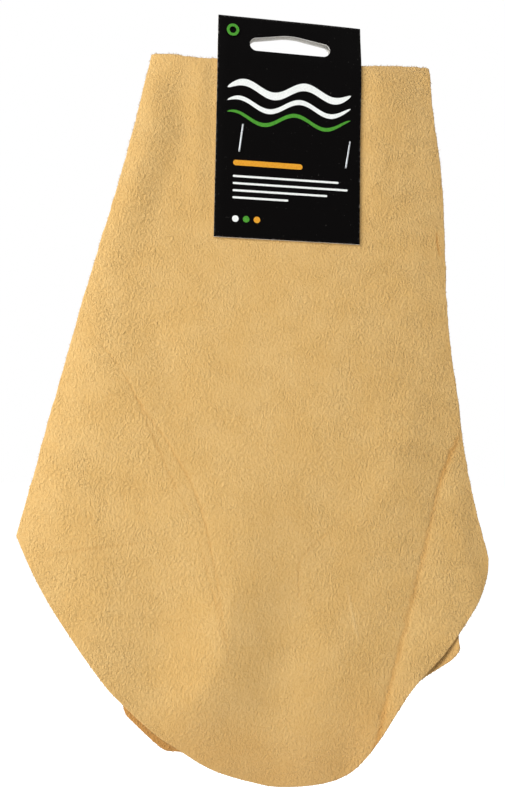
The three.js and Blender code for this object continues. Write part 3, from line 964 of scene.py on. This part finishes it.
white_ink = offset_ink("white_ink", "#f0f2ef", "#dfe2df")
green_ink = offset_ink("green_ink", "#4f9a34", "#3f8529")
orange_ink = offset_ink("orange_ink", "#e2a032", "#d08f28")
white_shapes = [
    ink_wave(-25.5 * mm, 3.4 * mm, 0),
    ink_wave(-32.5 * mm, 2.2 * mm, 0.08),
    *[ink_rule(row, width * mm, rule_height) for row, width in zip(rule_rows, (46, 50, 41, 24))],
    ink_dot(margin + 1.4 * mm, dot_row, dot_radius),
]
green_shapes = [
    ink_wave(-38.6 * mm, 1.7 * mm, 0.16),
    ink_dot(-25.2 * mm, 0.2 * mm, 2.7 * mm, hole=1.5 * mm),
    ink_dot(margin + 6 * mm, dot_row, dot_radius),
]
orange_shapes = [
    ink_rule(-58.6 * mm, 30 * mm, 2.4 * mm),
    ink_dot(margin + 10.6 * mm, dot_row, dot_radius),
]
lay_ink("print_white", white_shapes, white_ink)
lay_ink("print_green", green_shapes, green_ink)
lay_ink("print_orange", orange_shapes, orange_ink)

# Staples
# Flat galvanised wire, shot through card and skin: the crown lies on the front panel, and the legs come out
# behind and are bent inwards over the back panel. Each leans a little, as it was shot.
wire_width, wire_depth, wire_sides, wire_roundness = 0.7 * mm, 0.5 * mm, 16, 0.6
wire_bend, bend_steps, wire_clearance = 0.65 * mm, 8, 0.02 * mm
crown_length, clinch_length = 12.7 * mm, 4.6 * mm
tip_length, tip_rise, tip_taper = 0.4 * mm, 0.12 * mm, (0.75, 0.45, 1)
wire_reach = card_high.y + wire_depth / 2 + wire_clearance
crown_straight = crown_length / 2 - wire_depth / 2 - wire_bend
leg_straight = 2 * (wire_reach - wire_bend)
wire_weld, wire_smooth_angle = 0.005 * mm, math.radians(50)

# Each staple's place across and its height, in millimetres, and its lean in degrees.
staple_places = {"left_staple": (-20.8, -47.6, 6.7), "right_staple": (26.0, -51.6, 8.5)}

# Galvanised wire: bright and drawn, with fine scratches along it and a dull bloom of zinc in patches.
galvanised, shader = new_material("galvanised_wire")
place = add_node(shader, "TexCoord", {})["Object"]
scratch_width, scratch_length = 0.08 * mm, 2.5 * mm
drawn_scale = (1 / scratch_width, 1 / scratch_width, 1 / scratch_length)
drawn_place = add_node(shader, "Mapping", {"Vector": place, "Scale": drawn_scale})["Vector"]
drawn = grain(drawn_place, 1, Detail=2)
bloom = grain(place, 1.4 * mm, Detail=3)
set_sockets(shader, {
    "Base Color": mix(bloom, "#a9acaf", "#c6c9cb"), "Metallic": 1,
    "Roughness": stretch(bloom, 0.35, 0.65, 0.24, 0.45),
    "Normal": bump(drawn, 0.35, 0.03 * mm),
})


def draw_wire(back, up):
    """Draws the wire's open end straight on."""
    bpy.ops.mesh.extrude_region_move(TRANSFORM_OT_translate={"value": (0, back, up)})


def bend_wire(back):
    """Bends the wire's open end by a quarter turn about a line at the crown's end."""
    bpy.ops.mesh.spin(
        steps=bend_steps, angle=math.pi / 2, center=(0, back, crown_straight), axis=(1, 0, 0),
    )


bpy.ops.object.select_all(action="DESELECT")
bpy.ops.mesh.primitive_circle_add(vertices=wire_sides, radius=1, location=(0, 0, 0))
staple = bpy.context.object
for vertex in staple.data.vertices:
    flat_side = [math.copysign(abs(c) ** wire_roundness, c) for c in vertex.co.xy]
    vertex.co = flat_side[0] * wire_width / 2, flat_side[1] * wire_depth / 2 - wire_reach, 0
with edit_mode():
    bpy.ops.mesh.select_mode(type="EDGE")
    bpy.ops.mesh.select_all(action="SELECT")
    draw_wire(0, crown_straight)
    bend_wire(wire_bend - wire_reach)
    draw_wire(leg_straight, 0)
    bend_wire(wire_reach - wire_bend)
    draw_wire(0, tip_length - clinch_length)
    draw_wire(tip_rise, -tip_length)
    bpy.ops.transform.resize(
        value=tip_taper, center_override=(0, wire_reach + tip_rise, crown_straight - clinch_length),
    )
    bpy.ops.mesh.edge_face_add()
    bpy.ops.mesh.select_all(action="SELECT")
    bpy.ops.mesh.remove_doubles(threshold=wire_weld)
other_half = staple.modifiers.new("other half", "MIRROR")
other_half.use_axis = (False, False, True)
other_half.merge_threshold = wire_weld
bpy.ops.object.modifier_apply(modifier=other_half.name)
turn_faces_out()
bpy.ops.object.shade_smooth_by_angle(angle=wire_smooth_angle)
staple.data.materials.append(galvanised)
bpy.ops.object.duplicate()
for wire, (node, (across, height, lean)) in zip([staple, bpy.context.object], staple_places.items()):
    select_only(wire)
    wire.name = wire.data.name = node + "_wire"
    wire.rotation_euler = (0, math.radians(lean), 0)
    wire.location = (across * mm, 0, height * mm)
    bpy.ops.object.transform_apply()
    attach(wire, "carded_top")
    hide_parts(node)

# Stage
# A plain pale floor well below the hanging leather, and a white studio.
floor_height, floor_size, floor_glow = -0.62, 12, 0.8
studio_light = 0.29
white = (1, 1, 1, 1)
bpy.ops.object.select_all(action="DESELECT")
bpy.ops.mesh.primitive_plane_add(size=floor_size, location=(0, 0, floor_height))
floor = bpy.context.object
floor.name = floor.data.name = "studio_floor"
bpy.ops.object.transform_apply()
pale, shader = new_material("pale_studio_floor")
seen_floor = add_node(shader, "LightPath", {})["Is Camera Ray"]
set_sockets(shader, {
    "Base Color": linear("#e8e8e8"), "Roughness": 0.9, "Emission Color": white,
    "Emission Strength": combine("MULTIPLY", seen_floor, floor_glow),
})
floor.data.materials.append(pale)

world = bpy.data.worlds.new("white_studio")
world.use_nodes = True
bpy.context.scene.world = world
studio = world.node_tree.nodes["Background"]
path = add_node(studio, "LightPath", {})
seen = combine("MAXIMUM", path["Is Camera Ray"], path["Is Glossy Ray"])
seen = combine("MAXIMUM", seen, path["Is Transmission Ray"])
set_sockets(studio, {"Color": white, "Strength": stretch(seen, 0, 1, studio_light, 1)})

# Lamps by name, place, size and power.
lamps = [
    ("key_lamp", (-0.85, -0.58, 0.33), 0.6, 12.9),
    ("fill_lamp", (0.6, -0.9, -0.35), 0.7, 2.2),
    ("side_lamp", (-0.64, -0.2, -0.2), 0.25, 1.15),
    ("back_lamp", (0.5, 0.9, 0.4), 0.9, 9.0),
]
aim = Vector((0, 0, -0.16))
for name, spot, size, power in lamps:
    bpy.ops.object.light_add(type="AREA", location=spot)
    lamp = bpy.context.object
    lamp.name = name
    lamp.data.size = size
    lamp.data.energy = power
    lamp.rotation_euler = (aim - Vector(spot)).to_track_quat("-Z", "Y").to_euler()

# Camera at the photograph's place, with its three directions.
camera_data = bpy.data.cameras.new("photo_camera")
camera = bpy.data.objects.new("photo_camera", camera_data)
bpy.context.scene.collection.objects.link(camera)
camera_data.lens = 28
camera_data.sensor_width = 36
camera_data.clip_start = 0.01
camera_place = Vector((-44.76, -258.64, -177.0)) * mm
right_way = Vector((0.99259, -0.12031, 0.01727))
up_way = Vector((-0.02514, -0.06421, 0.99762))
forward_way = Vector((0.11892, 0.99066, 0.06676))
camera_turn = Matrix((right_way, up_way, -forward_way)).transposed().to_4x4()
camera.matrix_world = Matrix.Translation(camera_place) @ camera_turn
bpy.context.scene.camera = camera
bpy.context.scene.view_settings.view_transform = "Standard"
